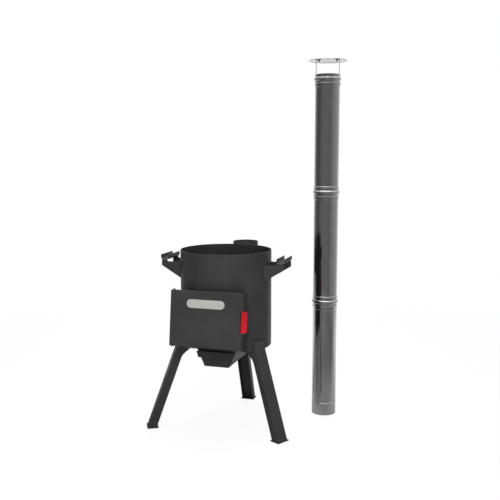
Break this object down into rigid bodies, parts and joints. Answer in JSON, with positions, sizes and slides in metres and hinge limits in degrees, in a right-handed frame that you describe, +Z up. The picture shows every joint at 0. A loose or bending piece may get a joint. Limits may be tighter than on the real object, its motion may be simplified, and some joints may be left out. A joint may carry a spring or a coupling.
{
  "type": "kazan stove",
  "caption": "Cauldron stove: open cylindrical fire body on splayed legs with a leaning fuel door, ash drawer and side handles, and its socketed chimney with rain cap standing beside it.",
  "frame": {"origin": "on the ground, in the middle of the footprint of the stove and the chimney standing beside it", "axes": "+Z up, the fuel door faces -Y, the chimney stands on the +X side"},
  "size_m": [0.737, 0.591, 1.4726],
  "materials": {
    "black_coat": "satin black heat-resistant powder coat",
    "red_coat": "satin red powder coat",
    "bare_plate": "satin, bare",
    "zinc": "zinc plated",
    "stainless": "bright mirror-like stainless sheet",
    "cast_iron": "as cast"
  },
  "bodies": {
    "stove": {"firebox_shell": "black_coat", "bottom_plate": "black_coat", "portal_hood": "black_coat", "portal_floor": "black_coat", "upper_hinge_lug": "black_coat", "lower_hinge_lug": "black_coat", "upper_hinge_bolt": "zinc", "lower_hinge_bolt": "zinc", "upper_hinge_nut": "zinc", "lower_hinge_nut": "zinc", "ash_chute": "black_coat", "front_left_leg": "black_coat", "front_right_leg": "black_coat", "rear_leg": "black_coat", "front_left_leg_foot": "black_coat", "front_right_leg_foot": "black_coat", "rear_leg_foot": "black_coat", "left_handle_front_cheek": "black_coat", "left_handle_rear_cheek": "black_coat", "left_handle_grip": "black_coat", "right_handle_front_cheek": "black_coat", "right_handle_rear_cheek": "black_coat", "right_handle_grip": "black_coat", "flue_box": "black_coat", "flue_collar": "black_coat"},
    "grate": {"grate": "cast_iron"},
    "door": {"door_leaf": "black_coat", "door_handle": "red_coat", "nameplate": "bare_plate", "nameplate_rivet_left": "zinc", "nameplate_rivet_right": "zinc"},
    "ash_drawer": {"ash_drawer": "black_coat", "ash_drawer_face": "black_coat", "ash_drawer_pull": "black_coat"},
    "lower_chimney": {"lower_chimney_section": "stainless"},
    "middle_chimney": {"middle_chimney_section": "stainless"},
    "upper_chimney": {"upper_chimney_section": "stainless", "cap_ring": "stainless", "cap_strap_left": "stainless", "cap_strap_right": "stainless", "cap_hat": "stainless", "cap_screw_left": "stainless", "cap_screw_right": "stainless", "cap_bolt_left": "stainless", "cap_bolt_right": "stainless", "cap_nut_left": "stainless", "cap_nut_right": "stainless"}
  },
  "joints": [
    {"name": "door_hinge", "type": "hinge", "parent": "stove", "child": "door", "pos_m": [-0.20275, -0.27581, 0.37006], "axis": [0, -0.1219, -0.9925], "range_deg": [0, 160]},
    {"name": "ash_drawer_slide", "type": "slide", "parent": "stove", "child": "ash_drawer", "axis": [0, -1, 0], "range_m": [0, 0.2]},
    {"name": "grate_lift", "type": "slide", "parent": "stove", "child": "grate", "axis": [0, 0, 1], "range_m": [0, 0.4]},
    {"name": "chimney_lift", "type": "slide", "parent": "stove", "child": "lower_chimney", "axis": [0, 0, 1], "range_m": [0, 0.73]},
    {"name": "middle_section_pull", "type": "slide", "parent": "lower_chimney", "child": "middle_chimney", "axis": [0, 0, 1], "range_m": [0, 0.06]},
    {"name": "upper_section_pull", "type": "slide", "parent": "middle_chimney", "child": "upper_chimney", "axis": [0, 0, 1], "range_m": [0, 0.06]}
  ]
}
